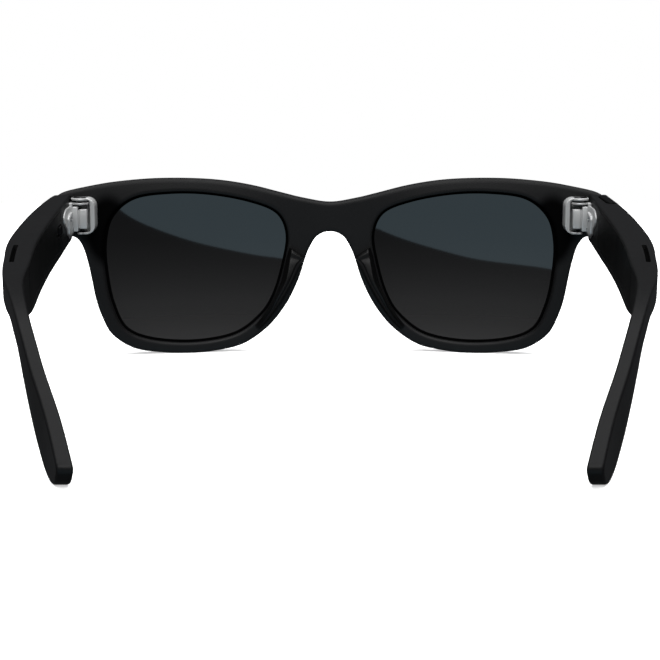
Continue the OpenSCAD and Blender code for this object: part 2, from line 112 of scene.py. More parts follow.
def respaced(p, step):
    """The same closed loop with its points an even distance apart."""
    q = np.vstack([p, p[:1]])
    s = np.r_[0, np.cumsum(np.linalg.norm(np.diff(q, axis=0), axis=1))]
    n = max(6, int(round(s[-1] / step)))
    t = np.linspace(0, s[-1], n, endpoint=False)
    return np.column_stack([np.interp(t, s, q[:, k]) for k in (0, 1)])


def moved(p, d):
    """An anticlockwise loop, moved outwards by d."""
    run = np.roll(p, -1, 0) - np.roll(p, 1, 0)
    run /= np.linalg.norm(run, axis=1)[:, None]
    return p + d * np.column_stack([run[:, 1], -run[:, 0]])


def flipped(p):
    return p[::-1] * np.array([-1, 1])


def inside(p, loop):
    """Which of the points p lie inside the loop."""
    x, y = p[:, 0][:, None], p[:, 1][:, None]
    a, b = loop, np.roll(loop, -1, 0)
    crossed = (a[:, 1] > y) != (b[:, 1] > y)
    run = np.where(b[:, 1] == a[:, 1], 1e-12, b[:, 1] - a[:, 1])
    at = a[:, 0] + (y - a[:, 1]) * (b[:, 0] - a[:, 0]) / run
    return (np.sum(crossed & (x < at), axis=1) % 2) == 1


def smoothstep(a, b, x):
    t = np.clip((x - a) / (b - a), 0, 1)
    return t * t * (3 - 2 * t)


def rounding(r, steps, flat):
    """Insets and depths of a rounded edge of radius r, from the face to the wall, after a flat strip."""
    arc = [(r * (1 - math.sin(a)), r * (1 - math.cos(a)))
           for a in np.linspace(0, math.pi / 2, steps + 1)]
    return [(r + flat, 0.0)] + arc


def crowned(reach, drop):
    """Insets and depths of an edge that falls away softly over a reach, from the face to the wall."""
    arc = [(reach * (1 - math.sin(a)), drop * (1 - math.cos(a))) for a in np.linspace(0, math.pi / 2, 8)]
    return [(reach + 0.08, 0.0)] + arc


outline = respaced(smooth_curve(HALF[:0:-1] + [HALF[0]] + [(-x, z) for x, z in HALF[1:]], True), 0.7)
opening = respaced(smooth_curve(OPENING, True), 0.7)
outer_line = smooth_curve(OUTER_FACE, False)
inner_line = smooth_curve(INNER_FACE, False)


def x_out(u):
    return np.interp(u, outer_line[:, 0], outer_line[:, 1])


def x_in(u):
    return np.interp(u, inner_line[:, 0], inner_line[:, 1])


# ---- meshes ----

class Shape:
    """Vertices in mm and faces, to which closed shells are added."""

    def __init__(self):
        self.verts, self.faces, self.mats = [], [], []

    def add(self, verts, faces):
        base = len(self.verts)
        self.verts.extend([tuple(v) for v in verts])
        self.faces.extend([tuple(base + i for i in f) for f in faces])
        self.mats.extend([0] * len(faces))


def sided(shape, side):
    """The shape for the right side (1), or its mirror image for the left (-1)."""
    shape.verts = [(side * v[0], v[1], v[2]) for v in shape.verts]
    return shape


def face_fill(loops, step):
    """Triangles between an outer loop and its holes, with a grid of points inside.
    Returns the extra points, and triangles that index the loops' points and then the extra ones."""
    flat = np.vstack(loops)
    low, high = flat.min(0), flat.max(0)
    rows = np.arange(low[1], high[1], step * 0.87)
    gx, gy = np.meshgrid(np.arange(low[0], high[0], step), rows)
    gx[1::2] += step / 2
    grid = np.column_stack([gx.ravel(), gy.ravel()])
    keep = inside(grid, loops[0])
    for hole in loops[1:]:
        keep &= ~inside(grid, hole)
    grid = grid[keep]
    near = np.array([np.min(np.sum((flat - g) ** 2, axis=1)) for g in grid])
    grid = grid[near > (0.6 * step) ** 2]
    points = np.vstack([flat, grid])
    edges, base = [], 0
    for loop in loops:
        n = len(loop)
        edges += [(base + i, base + (i + 1) % n) for i in range(n)]
        base += n
    out = delaunay_2d_cdt([Vector(p) for p in points], edges, [], 0, 1e-7)
    source = [o[0] if o else -1 for o in out[3]]
    tris = np.array([[source[i] for i in f] for f in out[2] if len(f) == 3])
    tris = tris[(tris >= 0).all(1)]
    mid = points[tris].mean(1)
    keep = inside(mid, loops[0])
    for hole in loops[1:]:
        keep &= ~inside(mid, hole)
    return grid, tris[keep]


def plate(shape, outer, holes, wall, hole_wall, place, step, mats=(0, 0, 0)):
    """A closed solid between two faces. wall and hole_wall run from the low face to the high one as
    (inset, depth); place turns points of the plane and a depth into points in mm.
    step spaces the points inside a face. mats are the material numbers of the low face, the walls and
    the high face."""
    sets = [(outer, wall, -1)] + [(h, hole_wall, 1) for h in holes]
    low_loops, high_loops, low_at, high_at = [], [], [], []
    for loop, rings, sense in sets:
        n = len(loop)
        base = len(shape.verts)
        flat = [moved(loop, sense * inset) for inset, _ in rings]
        for p, (_, depth) in zip(flat, rings):
            shape.verts.extend([tuple(v) for v in place(p, depth)])
        for k in range(len(rings) - 1):
            for i in range(n):
                a, b = base + k * n + i, base + k * n + (i + 1) % n
                shape.faces.append((a, b, b + n, a + n))
                shape.mats.append(mats[1])
        low_loops.append(flat[0])
        high_loops.append(flat[-1])
        low_at += list(range(base, base + n))
        high_at += list(range(base + (len(rings) - 1) * n, base + len(rings) * n))
    for loops, at, depth, mat in ((low_loops, low_at, wall[0][1], mats[0]),
                                  (high_loops, high_at, wall[-1][1], mats[2])):
        grid, tris = face_fill(loops, step)
        base = len(shape.verts)
        if len(grid):
            shape.verts.extend([tuple(v) for v in place(grid, depth)])
        at = at + list(range(base, base + len(grid)))
        shape.faces.extend([tuple(at[i] for i in t) for t in tris])
        shape.mats.extend([mat] * len(tris))


SHARP = 38                     # degrees between two faces from which their edge isn't smoothed
MERGE = 1e-7                   # points closer than this, in metres, are one


def mesh_of(name, shape):
    mesh = bpy.data.meshes.new(name)
    mesh.from_pydata([tuple(v) for v in np.array(shape.verts, float) / 1000], [], shape.faces)
    return mesh


def outward(mesh, merge=False):
    """Turns all faces of a closed mesh outwards, and joins points in one place if asked."""
    work = bmesh.new()
    work.from_mesh(mesh)
    if merge:
        bmesh.ops.remove_doubles(work, verts=work.verts, dist=MERGE)
    bmesh.ops.recalc_face_normals(work, faces=work.faces)
    work.to_mesh(mesh)
    work.free()


def new_object(name, data):
    """An object in the scene that holds the data."""
    made = bpy.data.objects.new(name, data)
    bpy.context.scene.collection.objects.link(made)
    return made


def make(name, shape, materials, body, nodes, angle=SHARP):
    """The shape as a Blender piece that rides on a body and stands for CAD nodes."""
    mesh = mesh_of(name, shape)
    for m in materials:
        mesh.materials.append(m)
    mesh.polygons.foreach_set("material_index", shape.mats)
    outward(mesh, merge=True)
    mesh.shade_smooth()
    mesh.set_sharp_from_angle(angle=math.radians(angle))
    piece = new_object(name, mesh)
    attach(piece, body)
    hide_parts(*nodes)
    return piece


def cut(piece, cutter_shape):
    """Takes a closed shape in mm out of a piece."""
    mesh = mesh_of("cutter", cutter_shape)
    outward(mesh)
    tool = new_object("cutter", mesh)
    boolean = piece.modifiers.new("cut", "BOOLEAN")
    boolean.operation = "DIFFERENCE"
    boolean.solver = "EXACT"
    boolean.object = tool
    bpy.context.view_layer.update()
    graph = bpy.context.evaluated_depsgraph_get()
    whole = piece.data
    rest = bpy.data.meshes.new_from_object(piece.evaluated_get(graph))
    piece.modifiers.clear()
    piece.data = rest
    bpy.data.objects.remove(tool)
    bpy.data.meshes.remove(whole)
    bpy.data.meshes.remove(mesh)
    piece.data.set_sharp_from_angle(angle=math.radians(SHARP))


def capsule(half, r):
    """A long round-ended loop along the second axis, anticlockwise."""
    top = [(r * math.cos(a), half + r * math.sin(a)) for a in np.linspace(0, math.pi, 11)]
    low = [(r * math.cos(a), -half + r * math.sin(a)) for a in np.linspace(math.pi, 2 * math.pi, 11)]
    return respaced(np.array(top + low), max(0.12, r / 6))


def round_rect(low, high, r, step=0.3):
    """A rectangle between two corners, with its own corners rounded."""
    corners = []
    for q in range(4):
        cx = high[0] - r if q in (0, 3) else low[0] + r
        cy = high[1] - r if q < 2 else low[1] + r
        corners += [(cx + r * math.cos(a), cy + r * math.sin(a))
                    for a in np.linspace(q, q + 1, 7) * math.pi / 2]
    return respaced(np.array(corners), step)


def circle(r, n):
    a = np.arange(n) * 2 * math.pi / n
    return np.column_stack([r * np.cos(a), r * np.sin(a)])


def lathe(shape, profile, place, n):
    """A closed solid of revolution: profile is (radius, height) from the axis and back to it."""
    verts, faces = [], []
    rings = []
    for r, h in profile:
        if r < 1e-6:
            rings.append([len(verts)])
            verts.append((0, 0, h))
        else:
            rings.append(list(range(len(verts), len(verts) + n)))
            verts += [(r * math.cos(a), r * math.sin(a), h) for a in np.arange(n) * 2 * math.pi / n]
    for a, b in zip(rings, rings[1:]):
        for i in range(n):
            j = (i + 1) % n
            if len(a) == 1:
                faces.append((a[0], b[i], b[j]))
            elif len(b) == 1:
                faces.append((a[i], b[0], a[j]))
            else:
                faces.append((a[i], b[i], b[j], a[j]))
    shape.add([place(v) for v in verts], faces)


# ---- materials ----

def new_material(name, color, roughness, metallic=0.0, specular=0.5, ior=1.5, coat=0.0,
                 coat_roughness=0.05):
    m = bpy.data.materials.new(name)
    m.use_nodes = True
    shader = m.node_tree.nodes["Principled BSDF"]
    shader.inputs["Base Color"].default_value = (*color, 1)
    shader.inputs["Roughness"].default_value = roughness
    shader.inputs["Metallic"].default_value = metallic
    shader.inputs["Specular IOR Level"].default_value = specular
    shader.inputs["IOR"].default_value = ior
    shader.inputs["Coat Weight"].default_value = coat
    shader.inputs["Coat Roughness"].default_value = coat_roughness
    m.diffuse_color = (*color, 1)
    return m, m.node_tree, shader


def object_noise(tree, scale, detail, stretch=(1, 1, 1)):
    """Noise in object space, which is the row frame in metres."""
    coord = tree.nodes.new("ShaderNodeTexCoord")
    mapping = tree.nodes.new("ShaderNodeMapping")
    mapping.inputs["Scale"].default_value = stretch
    noise = tree.nodes.new("ShaderNodeTexNoise")
    noise.inputs["Scale"].default_value = scale
    noise.inputs["Detail"].default_value = detail
    tree.links.new(coord.outputs["Object"], mapping.inputs["Vector"])
    tree.links.new(mapping.outputs["Vector"], noise.inputs["Vector"])
    return noise


def spread(tree, source, low, high):
    """A value from 0 to 1 spread over low to high."""
    node = tree.nodes.new("ShaderNodeMapRange")
    node.inputs["To Min"].default_value = low
    node.inputs["To Max"].default_value = high
    tree.links.new(source, node.inputs["Value"])
    return node.outputs["Result"]


def bump(tree, shader, source, distance, strength=1.0):
    node = tree.nodes.new("ShaderNodeBump")
    node.inputs["Distance"].default_value = distance
    node.inputs["Strength"].default_value = strength
    tree.links.new(source, node.inputs["Height"])
    tree.links.new(node.outputs["Normal"], shader.inputs["Normal"])


def tinted(tree, shader, source, low, high):
    """The base colour varies between two colours; returns the ramp between them."""
    ramp = tree.nodes.new("ShaderNodeValToRGB")
    ramp.color_ramp.elements[0].color = (*low, 1)
    ramp.color_ramp.elements[1].color = (*high, 1)
    tree.links.new(source, ramp.inputs["Fac"])
    tree.links.new(ramp.outputs["Color"], shader.inputs["Base Color"])
    return ramp


def moulded_black(name, shade, rough, grain=2600, depth=0.000012, specular=0.35):
    """Fine matt moulded plastic: grain, soft mottling and slightly uneven gloss."""
    m, tree, shader = new_material(name, (shade, shade, shade * 1.06), rough, specular=specular)
    broad = object_noise(tree, 45, 3)
    darker = (shade * 0.86, shade * 0.87, shade * 0.92)
    lighter = (shade * 1.14, shade * 1.15, shade * 1.22)
    tinted(tree, shader, broad.outputs["Fac"], darker, lighter)
    patches = object_noise(tree, 160, 4)
    gloss = spread(tree, patches.outputs["Fac"], rough - 0.05, rough + 0.05)
    tree.links.new(gloss, shader.inputs["Roughness"])
    fine = object_noise(tree, grain, 2)
    bump(tree, shader, fine.outputs["Fac"], depth)
    return m


def metal(name, color, rough, brushed=(1, 1, 1), scale=900, depth=0.000004, metallic=1.0):
    """Metal with fine uneven gloss, in lines where brushed stretches the noise."""
    m, tree, shader = new_material(name, color, rough, metallic=metallic)
    lines = object_noise(tree, scale, 3, brushed)
    gloss = spread(tree, lines.outputs["Fac"], rough * 0.7, rough * 1.35)
    tree.links.new(gloss, shader.inputs["Roughness"])
    bump(tree, shader, lines.outputs["Fac"], depth)
    return m


def paint_shade(m, at, size, specular):
    """Painted shade: less gloss and a deeper black in a soft-edged ellipse, given in mm by |x| and z and how
    far it reaches in each. Beyond it the material has this specular level."""
    full, none, least = 0.75, 1.18, 0.12   # shares of the ellipse between which it fades; how dark it gets
    tree = m.node_tree
    shader = tree.nodes["Principled BSDF"]
    coord = tree.nodes.new("ShaderNodeTexCoord")
    folded = tree.nodes.new("ShaderNodeVectorMath")
    folded.operation = "ABSOLUTE"
    placed = tree.nodes.new("ShaderNodeMapping")
    placed.inputs["Location"].default_value = (-at[0] / size[0], 0, -at[1] / size[1])
    placed.inputs["Scale"].default_value = (1000 / size[0], 0, 1000 / size[1])
    reach = tree.nodes.new("ShaderNodeVectorMath")
    reach.operation = "LENGTH"
    fade = tree.nodes.new("ShaderNodeMapRange")
    fade.interpolation_type = "SMOOTHSTEP"
    fade.inputs["From Min"].default_value = full
    fade.inputs["From Max"].default_value = none
    fade.inputs["To Min"].default_value = least
    gloss = tree.nodes.new("ShaderNodeMath")
    gloss.operation = "MULTIPLY"
    gloss.inputs[1].default_value = specular
    dim = tree.nodes.new("ShaderNodeVectorMath")
    dim.operation = "SCALE"
    tree.links.new(shader.inputs["Base Color"].links[0].from_socket, dim.inputs[0])
    tree.links.new(coord.outputs["Object"], folded.inputs[0])
    tree.links.new(folded.outputs["Vector"], placed.inputs["Vector"])
    tree.links.new(placed.outputs["Vector"], reach.inputs[0])
    tree.links.new(reach.outputs["Value"], fade.inputs["Value"])
    tree.links.new(fade.outputs["Result"], gloss.inputs[0])
    tree.links.new(fade.outputs["Result"], dim.inputs["Scale"])
    tree.links.new(gloss.outputs["Value"], shader.inputs["Specular IOR Level"])
    tree.links.new(dim.outputs["Vector"], shader.inputs["Base Color"])


RIM_GLOSS = 0.16
BLACK = moulded_black("frame_plastic", 0.0045, 0.46, specular=0.13)
RIM = moulded_black("rim_plastic", 0.0055, 0.46, specular=RIM_GLOSS)
# Painted shade: the pads are the frame's plastic, made darker all over to stand in for the shade on their
# lower, lens-side faces
PAD_SHADED_BLACK = moulded_black("pad_plastic_shaded", 0.0014, 0.38, specular=0.2)
paint_shade(RIM, (58.7, LENS_Z + 10.4), (5.7, 9.4), RIM_GLOSS)      # painted shade on the rim beside each hinge
COVER = moulded_black("cover_plastic", 0.0026, 0.5, specular=0.09)
CONTROL = moulded_black("control_plastic", 0.0025, 0.5, grain=3200, depth=0.000008, specular=0.05)
# Dull black: the speaker meshes' own colour, and painted shade on each lens's edge band for the shadow in
# the rim's groove
MESH_BLACK_AND_GROOVE_SHADE = moulded_black("mesh_black_and_groove_shade", 0.0012, 0.9, specular=0.0)
CHROME = metal("hinge_chrome", (0.46, 0.465, 0.465), 0.36, (1, 1, 6), 500, 0.000003, metallic=0.45)
STEEL = metal("screw_steel", (0.62, 0.62, 0.63), 0.27)
GOLD = metal("gold_plate", (0.83, 0.6, 0.27), 0.22)


LENS_LOW_SHADE, LENS_HIGH_SHADE = 0.032, 0.0004
LENS_FALL = 1.65                         # how fast the shade falls from the bottom up


def tinted_lens():
    """Dark lens plastic, a little lighter towards the bottom, with a clear hard coat."""
    m, tree, shader = new_material("lens_tint", (0.004, 0.0045, 0.005), 0.035, ior=1.58,
                                   coat=0.35, coat_roughness=0.02)
    coord = tree.nodes.new("ShaderNodeTexCoord")
    split = tree.nodes.new("ShaderNodeSeparateXYZ")
    tree.links.new(coord.outputs["Object"], split.inputs["Vector"])
    height = tree.nodes.new("ShaderNodeMapRange")
    height.inputs["From Min"].default_value = (LENS_Z - 20) / 1000
    height.inputs["From Max"].default_value = (LENS_Z + 14) / 1000
    tree.links.new(split.outputs["Z"], height.inputs["Value"])
    lowest = (LENS_LOW_SHADE, LENS_LOW_SHADE, 0.0324)
    highest = (LENS_HIGH_SHADE, LENS_HIGH_SHADE, 0.0005)
    ramp = tinted(tree, shader, height.outputs["Result"], lowest, highest)
    for share in (0.2, 0.4, 0.6, 0.8):
        shade = LENS_LOW_SHADE * (1 - share) ** LENS_FALL
        ramp.color_ramp.elements.new(share).color = (shade, shade, shade * 1.012, 1)
    ripple = object_noise(tree, 30, 1)
    bump(tree, shader, ripple.outputs["Fac"], 0.000002, 0.5)
    return m


LENS = tinted_lens()


# ---- the front ----

LEAN, LEAN_FROM = 0.0154, 17   # how the rear surface leans forwards, above a height
SEAM = 0.09                    # depth of the groove where the two halves of the front meet


def on_front(p, depth):
    """Points of the front at a depth that is measured square to the rear surface."""
    y = REAR_Y - BOW_R + np.sqrt((BOW_R + depth) ** 2 - p[:, 0] ** 2)
    if depth < REAR_T:
        y = y + LEAN * np.maximum(0, p[:, 1] - LEAN_FROM) ** 2 * (1 - depth / REAR_T)
    return np.column_stack([p[:, 0], y, LENS_Z + p[:, 1]])


both = [opening, flipped(opening)]

rear = Shape()
plate(rear, outline, both, crowned(1.1, 0.35) + [(0, 1.3), (SEAM, 1.4), (SEAM, REAR_T)],
      crowned(0.95, 0.4) + [(0, REAR_T)], on_front, 1.5)
make("rim_rear", rear, [RIM], "front", ["rear_frame"])

fore = Shape()
edge_front = [(i, FRONT_T - d) for i, d in rounding(0.7, 6, 0.35)][::-1]
lip_front = [(i, FRONT_T - d) for i, d in rounding(0.5, 4, 0.3)][::-1]
plate(fore, outline, both, [(SEAM, REAR_T), (SEAM, 1.6), (0, 1.7)] + edge_front,
      [(0, REAR_T)] + lip_front, on_front, 1.5)
front_rim = make("rim_front", fore, [BLACK], "front", ["front_frame"])


def on_bow(x, height):
    """Turns a local point (across, out through the front, up) at a place on the front into mm."""
    a = -math.asin(x / BOW_R)
    cos, sin = math.cos(a), math.sin(a)
    axis_y = REAR_Y - BOW_R

    def place(v):
        across, out, up = v[0], v[1] + BOW_R, v[2]
        return (across * cos - out * sin, axis_y + across * sin + out * cos, LENS_Z + height + up)
    return place


def facing_front(x, height):
    """For a lathe: its axis points out through the front."""
    base = on_bow(x, height)
    return lambda v: base((v[0], v[2], v[1]))


pocket_r = WINDOW_R + 0.06
for x in (-WINDOW_X, WINDOW_X):
    pocket = Shape()
    lathe(pocket, [(0, 4.0), (pocket_r, 4.0), (pocket_r, 4.62), (WINDOW_R + 0.3, 5.2), (0, 5.2)],
          facing_front(x, WINDOW_Z), 72)
    cut(front_rim, pocket)


LENS_BULGE, LENS_REACH = 1.85, (26, 21.5)      # a lens's bulge, and the half axes where it is 0
LENS_BACK, LENS_FRONT = REAR_T + 0.05, 3.3     # its two faces


def lens_depth(p):
    """How far a lens bulges forwards, over its flat seat in the groove."""
    across = (np.abs(p[:, 0]) - LENS_MID[0]) / LENS_REACH[0]
    up = (p[:, 1] - LENS_MID[1]) / LENS_REACH[1]
    return LENS_BULGE * (1 - across ** 2 - up ** 2)


def on_lens(p, depth):
    y = REAR_Y - BOW_R + np.sqrt((BOW_R + depth + lens_depth(p)) ** 2 - p[:, 0] ** 2)
    return np.column_stack([p[:, 0], y, LENS_Z + p[:, 1]])


# Painted shade: the edge and the outer band of each face are black, for the shadow in the rim's groove round
# the lens; the rest is lens
shade_band = (1.3, 0.7, 0.0)
lens_wall = [(inset, LENS_BACK) for inset in shade_band] + [(inset, LENS_FRONT) for inset in shade_band[::-1]]
for side, name in SIDES:
    lens = Shape()
    plate(lens, moved(opening, 0.6), [], lens_wall, None, on_lens, 1.3, (0, 1, 0))
    make("lens_" + name, sided(lens, side), [LENS, MESH_BLACK_AND_GROOVE_SHADE], "front", ["lens_" + name])


# ---- the nose pads ----

def corner(points, r, steps):
    """An open section with its inner corners rounded."""
    out = [points[0]]
    for a, b, c in zip(points, points[1:], points[2:]):
        a, b, c = np.array(a), np.array(b), np.array(c)
        ra = min(r, np.linalg.norm(b - a) * 0.45)
        rc = min(r, np.linalg.norm(c - b) * 0.45)
        p = b + (a - b) / np.linalg.norm(a - b) * ra
        q = b + (c - b) / np.linalg.norm(c - b) * rc
        for t in np.linspace(0, 1, steps + 1):
            out.append((1 - t) ** 2 * p + 2 * t * (1 - t) * b + t ** 2 * q)
    out.append(points[-1])
    return np.array(out)


# From the pad's top to its bottom: across and up on the rim for the nose side, the crest's two
# edges and the lens side, and the crest's height behind the rim
PAD = [(6.7, 2.6, 6.9, 2.65, 10.2, 4.95, 10.9, 5.0, -0.3),
       (6.75, 2.45, 6.95, 2.5, 10.25, 4.8, 11.0, 4.85, 2.7),
       (7.2, 1.4, 7.9, 1.9, 10.75, 2.6, 11.7, 2.4, 3.2),
       (8.05, -0.2, 9.15, 0.4, 11.1, 0.4, 12.2, 0.2, 3.7),
       (10.0, -4.3, 10.9, -3.8, 12.0, -3.7, 13.3, -4.2, 4.4),
       (12.2, -8.4, 13.3, -7.9, 14.2, -7.8, 15.0, -8.2, 4.5),
       (15.0, -12.6, 15.6, -11.9, 16.0, -11.6, 17.3, -12.1, 3.2),
       (17.9, -16.2, 18.3, -15.6, 18.6, -15.3, 19.4, -14.9, 1.1),
       (19.8, -17.9, 20.0, -17.4, 20.3, -17.1, 20.9, -16.4, -0.3)]
ROOT = -0.9                    # how far a pad reaches into the rim

pad_sections = []
for row in smooth_curve(PAD, False, 8):
    nose, nose_crest, lens_crest, lens_side, height = row[0:2], row[2:4], row[4:6], row[6:8], row[8]
    raw = [(*lens_side, ROOT), (*lens_side, min(height, 0.0)), (*lens_crest, height),
           (*nose_crest, height * 0.97), (*nose, min(height, 0.0)), (*nose, ROOT)]
    pad_sections.append(corner(raw, 0.4, 5))


def pad_shape():
    shape = Shape()
    verts, faces = [], []
    n = len(pad_sections[0])
    for section in pad_sections:
        for across, up, height in section:
            verts.append(on_front(np.array([(across, up)]), 0.0)[0] - np.array([0, height, 0]))
    for i in range(len(pad_sections) - 1):
        for j in range(n):
            k = (j + 1) % n
            faces.append((i * n + j, i * n + k, (i + 1) * n + k, (i + 1) * n + j))
    faces.append(tuple(range(n)))
    faces.append(tuple(range((len(pad_sections) - 1) * n, len(pad_sections) * n))[::-1])
    shape.add(verts, faces)
    return shape


for side, name in SIDES:
    make("nose_pad_" + name, sided(pad_shape(), side), [PAD_SHADED_BLACK], "front", ["nose_pad_" + name],
         angle=60)


# ---- the temples ----
# s is a distance along the top edge. u (back) and w (up) are a temple's own axes, from the front end
# of that edge.

def turn_at(s):
    """How far the top edge has bent down at s."""
    return BEND * np.clip((s - STRAIGHT) / BEND_LEN, 0, 1)


def top_edge(s):
    turn = turn_at(s)
    rest = max(0.0, s - STRAIGHT - BEND_LEN)
    return np.array([min(s, STRAIGHT) + BEND_R * math.sin(turn) + rest * math.cos(turn),
                     -BEND_R * (1 - math.cos(turn)) - rest * math.sin(turn)])


TAPER_START, NECK_AT, HOOK_AT = 62.0, 115.0, 139.0
TIP_START = TEMPLE_LEN - 9.4
TIP_EDGE, TIP_ROUND = 3.15, 1.3          # height of the flat end of the tip, radius of its upper corner


def eased(a, b, t):
    return a + (b - a) * (1 - math.cos(math.pi * t)) / 2


def height_at(s):
    if s < TAPER_START:
        return FRONT_H + (HOUSING_H - FRONT_H) * s / TAPER_START
    if s < NECK_AT:
        return eased(HOUSING_H, NECK_H, (s - TAPER_START) / (NECK_AT - TAPER_START))
    if s < HOOK_AT:
        return eased(NECK_H, HOOK_H, (s - NECK_AT) / (HOOK_AT - NECK_AT))
    if s < TIP_START:
        return HOOK_H
    share = (s - TIP_START) / (TEMPLE_LEN - TIP_START)
    return TIP_EDGE + (HOOK_H - TIP_EDGE) * math.sqrt(max(0, 1 - share ** 2))


def bottom_edge(s):
    turn = turn_at(s)
    return top_edge(s) - height_at(s) * np.array([math.sin(turn), math.cos(turn)])


def tip_corner(a):
    mid = top_edge(TEMPLE_LEN - TIP_ROUND) - TIP_ROUND * np.array([math.sin(BEND), math.cos(BEND)])
    return mid + TIP_ROUND * np.array([math.sin(BEND + a), math.cos(BEND + a)])


END_GAP = 0.35                           # between a temple and the front's rear surface


def cylinder_y(x):
    """Where a temple ends, just behind the front's rear surface."""
    return REAR_Y - BOW_R + math.sqrt((BOW_R - END_GAP) ** 2 - x * x)


def front_u(w, x):
    """The same place as a distance back, at a height on the temple."""
    return (TEMPLE_Y - w * SIN - cylinder_y(x)) / COS


X_MID, CORNER = 69.7, 0.4                # middle of the front end, and how much its corners are cut
top_steps = np.linspace(0, TEMPLE_LEN - TIP_ROUND - 0.3, 260)
low_steps = np.linspace(TIP_START, 0, 240)[1:]
side_top = [top_edge(s) for s in top_steps if s > front_u(0, X_MID) + CORNER]
side_tip = [tip_corner(a) for a in np.radians(np.linspace(0, 90, 10))]
tip_rows = np.sin(np.linspace(math.pi / 2, 0, 26))
side_low = [bottom_edge(TIP_START + (TEMPLE_LEN - TIP_START) * k) for k in tip_rows[1:]]
side_back = [bottom_edge(s) for s in low_steps if s > front_u(-FRONT_H, X_MID) + CORNER]
side_front = [np.array([front_u(w, X_MID), w]) for w in np.linspace(-FRONT_H + CORNER, -CORNER, 12)]
side_loop = respaced(np.array(side_top + side_tip + side_low + side_back + side_front), 0.75)[::-1]
low_line = np.array([bottom_edge(s) for s in np.linspace(0, TEMPLE_LEN, 200)])


def temple_point(x, u, w):
    """From a temple's own frame to the row frame."""
    return np.column_stack([x, TEMPLE_Y - u * COS - w * SIN, TEMPLE_Z - u * SIN + w * COS])


R_OUT, R_IN = 0.5, 0.6                   # rounding of the edges on the outer and the inner side
# How the outer side differs from OUTER_FACE: a chamfer that runs up from the bottom edge and gets less
# behind the bend, a bulge above it, and a lower top corner at the front end
CHAMFER, CHAMFER_LESS, CHAMFER_H = 1.3, 0.75, 4.5
BULGE, TOP_DROP = 0.3, 0.45


def on_temple(p, depth):
    """depth is a pair: ("in", mm from the inner face), ("out", mm from the outer face) or ("mid", share)."""
    base, value = depth
    u, w = p[:, 0], p[:, 1]
    low, high = x_in(u), x_out(u)
    x = low + value if base == "in" else high - value if base == "out" else low + value * (high - low)
    r = R_IN if base == "in" else R_OUT
    bare = r - min(max(value, 0.0), r) if base != "mid" else 0.0
    inset = r - math.sqrt(r * r - bare * bare)
    # the front end stays square: most of its edge rounding is taken back
    start = np.array([front_u(h, X_MID) for h in w])
    u = u - 0.85 * inset * (1 - smoothstep(0.3, 6, u - start))
    share = (x - low) / (high - low)
    above = np.clip((w - np.interp(u, low_line[:, 0], low_line[:, 1])) / CHAMFER_H, 0, 1)
    chamfer = smoothstep(66, 90, u) * (CHAMFER - CHAMFER_LESS * smoothstep(96, 110, u))
    chamfer = chamfer * (1 - smoothstep(122, 134, u))
    bulge = BULGE * smoothstep(72, 86, u) * (1 - smoothstep(94, 106, u))
    x = x + share * (bulge * above - chamfer * (1 - above) ** 2)
    w = w - TOP_DROP * share * above * (1 - smoothstep(-1, 9, u))
    # the front end follows the wrap of the front
    shift = np.array([cylinder_y(a) - cylinder_y(X_MID) for a in x]) * (1 - smoothstep(3.6, 10, u))
    points = temple_point(x, u, w)
    points[:, 1] += shift
    return points


temple_wall = ([(i, ("in", d)) for i, d in rounding(R_IN, 6, 0.5)]
               + [(0, ("in", R_IN + 0.3)), (0, ("mid", 0.45)), (0, ("mid", 0.58)), (0, ("out", R_OUT + 0.3))]
               + [(i, ("out", d)) for i, d in rounding(R_OUT, 6, 0.5)][::-1])

# Two corners of the inner cover's recess, as u and w, its depth, and the gap round the cover
COVER_LOW, COVER_HIGH, COVER_DEEP, COVER_GAP = (19.8, -10.7), (83.7, -0.8), 0.55, 0.07
# The speaker slot's ends, its width, and how far it is from the outer face at each end
SLOT_U, SLOT_W, SLOT_INSET = (64.0, 81.0), 1.1, (1.75, 1.15)
# The capture button: its middle, also measured from the outer face, its size, and the groove round it
BUTTON_U, BUTTON_INSET, BUTTON_LEN, BUTTON_W, BUTTON_GAP = 11.5, 1.75, 10.0, 2.2, 0.28
BUTTON_X = float(x_out(BUTTON_U)) - BUTTON_INSET
# The power switch's knob, and the opening that it slides in
KNOB_U, KNOB_W, KNOB_LEN, KNOB_H, KNOB_TRAVEL = 24.0, -5.5, 3.0, 2.2, 2.0
KNOB_END_GAP, KNOB_SIDE_GAP = 0.2, 0.15
KNOB_SPAN = KNOB_LEN + KNOB_TRAVEL + 2 * KNOB_END_GAP


def block(loop, low, high, place, step=2.5):
    """A loop drawn straight from one depth to another."""
    shape = Shape()
    plate(shape, loop, [], [(0, low), (0, high)], None, place, step)
    return shape


def at_top(mid_x, mid_u):
    """Places a loop (x, -u) round a point of the top edge's plane, at a height."""
    return lambda p, w: temple_point(mid_x + p[:, 0], mid_u - p[:, 1], np.full(len(p), float(w)))


def slot_loop(grow):
    """The speaker slot runs a little aslant, nearer to the outer face at its rear end."""
    us = np.linspace(SLOT_U[0] - grow, SLOT_U[1] + grow, 16)
    inset = np.interp(us, SLOT_U, SLOT_INSET)
    outer = np.column_stack([x_out(us) - inset + grow, -us])
    inner = np.column_stack([x_out(us) - inset - SLOT_W - grow, -us])
    return respaced(np.vstack([inner, outer[::-1]])[::-1], 0.5)


def button_loop(grow):
    """The capture button's outline, turned to run along the outer face."""
    turn = math.atan((x_out(BUTTON_U + 5) - x_out(BUTTON_U - 5)) / 10)
    p = capsule((BUTTON_LEN - BUTTON_W) / 2, BUTTON_W / 2 + grow)
    cos, sin = math.cos(turn), math.sin(turn)
    return np.column_stack([p[:, 0] * cos - p[:, 1] * sin, p[:, 0] * sin + p[:, 1] * cos])


